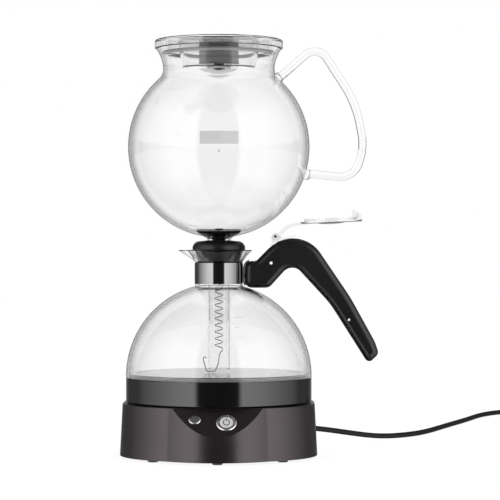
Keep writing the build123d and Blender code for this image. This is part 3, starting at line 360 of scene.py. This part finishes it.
# ---------------------------------------------------------------- materials
MATERIALS = {
    "housing": moulded(
        "housing_metallic", (0.047, 0.040, 0.042), 0.27, grain=2600, grain_depth=0.012,
        metallic=0.75, variation=0.05,
    ),
    "inner": moulded("inner_plastic", (0.03, 0.03, 0.032), 0.5),
    "rubber": moulded("black_rubber", (0.005, 0.005, 0.005), 0.36, grain=1500, ior=1.4),
    "foot": moulded("foot_rubber", (0.05, 0.05, 0.05), 0.7),
    "seal": moulded("seal_silicone", (0.55, 0.56, 0.56), 0.4),
    "cord": moulded("cord_sheath", (0.004, 0.004, 0.004), 0.45, grain=3000, ior=1.3),
    "tie": moulded("tie_strap", (0.02, 0.02, 0.02), 0.8, grain=4000, grain_depth=0.08),
    "deck": moulded("deck_satin", (0.03, 0.03, 0.032), 0.45),
    "skirt": moulded(
        "skirt_gloss_black", (0.004, 0.004, 0.004), 0.10, grain=60, grain_depth=0.002, coat=0.2,
    ),
    "grip": moulded(
        "grip_black", (0.005, 0.005, 0.005), 0.34, grain=1400, grain_depth=0.03, ior=1.42,
    ),
    "lamp": moulded("lamp_smoked", (0.08, 0.08, 0.085), 0.12, grain=200, grain_depth=0.002),
    "button": moulded("button_light", (0.62, 0.62, 0.62), 0.3, grain=1200),
    "sign": moulded("sign_ink", (0.004, 0.004, 0.004), 0.6, ior=1.2),
    "board": moulded("board_green", (0.03, 0.12, 0.05), 0.5),
    "filter": moulded("filter_black", (0.01, 0.01, 0.01), 0.35),
    "polished": steel("polished_steel", (0.60, 0.60, 0.61), 0.06, streak=0.02),
    "band": steel("band_steel", (0.20, 0.20, 0.202), 0.05, streak=0.02),
    "satin": steel("satin_silver", (0.60, 0.57, 0.58), 0.30, streak=0.05),
    "plate": steel("plate_steel", (0.52, 0.52, 0.53), 0.20, streak=0.06),
    "wire": steel("wire_steel", (0.35, 0.35, 0.36), 0.22, streak=0.04),
    "brass": steel("plated_brass", (0.72, 0.60, 0.36), 0.25, streak=0.05),
    "frost": moulded("frosted_print", (0.60, 0.60, 0.60), 0.8),
    "tick": moulded("level_print", (0.78, 0.78, 0.78), 0.7),
    # the second colour of each clear material is painted edge shade, not the glass's own colour
    "glass": clear(
        "clear_glass", (0.975, 0.977, 0.977), (0.08, 0.08, 0.08), 1.47, edge_shade_from=0.62, edge_shade_to=0.92,
    ),
    "plastic": clear(
        "clear_plastic", (0.94, 0.94, 0.94), (0.35, 0.35, 0.35), 1.49, edge_shade_from=0.92, edge_shade_to=1.0,
    ),
}
FINISH = {
    "housing": ["base_housing"],
    "inner": ["base_bottom_cover", "skirt_cover", "kettle_socket", "power_spigot", "tact_switch"],
    "foot": ["base_feet"],
    "rubber": ["gasket"],
    "seal": ["flask_seal", "lid_seal"],
    "cord": ["strain_relief", "mains_plug"],
    "tie": ["cord_tie"],
    "deck": ["deck_plate"],
    "skirt": ["heater_skirt"],
    "grip": ["flask_handle"],
    "lamp": ["indicator_lens"],
    "button": ["power_button"],
    "sign": ["button_icon"],
    "board": ["control_board"],
    "filter": ["filter_disc", "filter_core"],
    "polished": ["handle_bracket", "hinge_pin", "lid_core_cap"],
    "band": ["neck_band", "lid_core"],
    "satin": ["button_bezel", "indicator_bezel", "base_screws", "clamp_screw"],
    "plate": ["heater_plate", "heating_element", "thermostat"],
    "wire": ["filter_spring", "filter_rod", "filter_hook"],
    "brass": ["contact_rings", "plug_blades"],
    "glass": ["flask_glass", "funnel_glass", "funnel_handle"],
    "plastic": ["hinge_clip", "flask_lid", "lid_disc", "lid_cup"],
}


# ---------------------------------------------------------------- prints on the glass
BOWL_RADIUS, FLASK_RADIUS = 83.0, 84.9
BOWL_CENTRE_Z, DOME_CENTRE_Z = 282.37, 73.1
PRINT_GAP = 0.15             # from the glass to the print
PRINT_STEPS = 8
PANEL_X, PANEL_Z = (-15.6, 18.4), (281.2, 292.6)
DOT_X, DOT_Z = (0.2, 2.6), (273.8, 276.2)
TICK_X, TICK_HEIGHT = 14.0, 0.9
TICKS = ((128.0, 9.0), (119.5, 5.0), (111.0, 9.0))      # (height, width) of each


def sphere_patch(name, glass_radius, centre_z, x_range, z_range, finish, body):
    """A thin print that follows the front of a glass ball."""
    radius, steps = glass_radius + PRINT_GAP, PRINT_STEPS
    points, faces = [], []
    for i in range(steps + 1):
        for k in range(steps + 1):
            x = x_range[0] + (x_range[1] - x_range[0]) * i / steps
            z = z_range[0] + (z_range[1] - z_range[0]) * k / steps
            y = -math.sqrt(radius ** 2 - x ** 2 - (z - centre_z) ** 2)
            points.append((AXIS_X + x * MM, y * MM, z * MM))
    row = steps + 1
    for i in range(steps):
        for k in range(steps):
            first = i * row + k
            faces.append((first, first + row, first + row + 1, first + 1))
    mesh = bpy.data.meshes.new(name)
    mesh.from_pydata(points, [], faces)
    for face in mesh.polygons:
        face.use_smooth = True
    patch = bpy.data.objects.new(name, mesh)
    bpy.context.collection.objects.link(patch)
    patch.data.materials.append(MATERIALS[finish])
    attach(patch, body)


def make_prints():
    sphere_patch("mark_panel", BOWL_RADIUS, BOWL_CENTRE_Z, PANEL_X, PANEL_Z, "frost", "funnel")
    sphere_patch("mark_dot", BOWL_RADIUS, BOWL_CENTRE_Z, DOT_X, DOT_Z, "frost", "funnel")
    for i, (z, width) in enumerate(TICKS):
        x_range, z_range = (TICK_X, TICK_X + width), (z, z + TICK_HEIGHT)
        name = f"level_tick_{i}"
        sphere_patch(name, FLASK_RADIUS, DOME_CENTRE_Z, x_range, z_range, "tick", "flask")


def dress_nodes():
    for finish, names in FINISH.items():
        for name in names:
            for slot in NODES[name].material_slots:
                slot.material = MATERIALS[finish]


make_camera()
make_cord()
make_prints()
dress_nodes()
make_world()
make_floor()

bpy.context.scene.view_settings.view_transform = "Standard"
